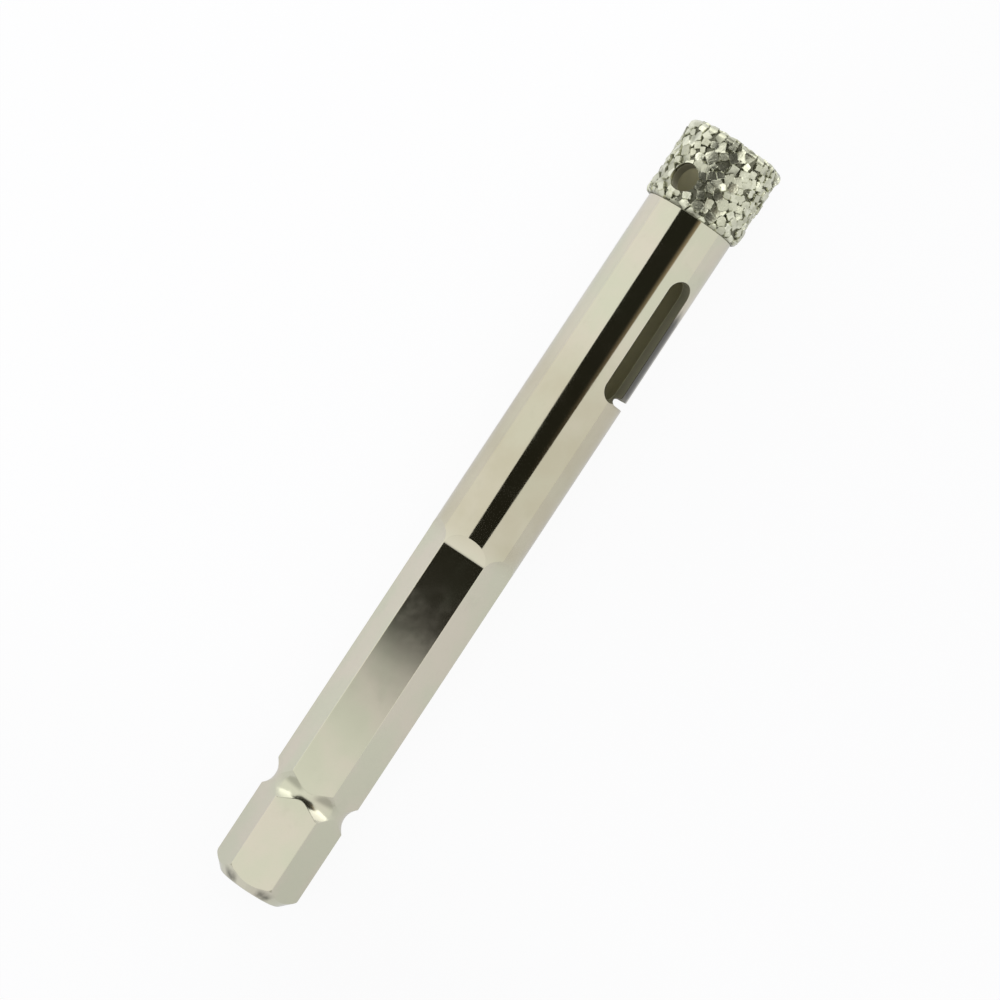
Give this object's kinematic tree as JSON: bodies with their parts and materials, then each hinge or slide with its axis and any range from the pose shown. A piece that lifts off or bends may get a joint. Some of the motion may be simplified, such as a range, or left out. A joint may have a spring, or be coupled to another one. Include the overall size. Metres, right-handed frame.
{
  "type": "diamond drill bit",
  "caption": "Hollow diamond drill bit with a hex quick-change shank, a round barrel with a side window, and a coarse grit crown with a side hole.",
  "frame": {"origin": "centre of the shank's tail end, on the drill's axis", "axes": "+X along the drill's axis towards the crown, +Z square to one flat of the hex shank, which faces up; the flat opposite it faces down and is what the shank rests on"},
  "size_m": [0.0675, 0.0082, 0.0082],
  "materials": {
    "nickel_plated_steel": "bright nickel plate with a warm tint",
    "diamond_grit": "coarse diamond grains bonded in nickel"
  },
  "bodies": {
    "root": {"steel_body": "nickel_plated_steel", "diamond_crown": "diamond_grit"}
  },
  "joints": []
}
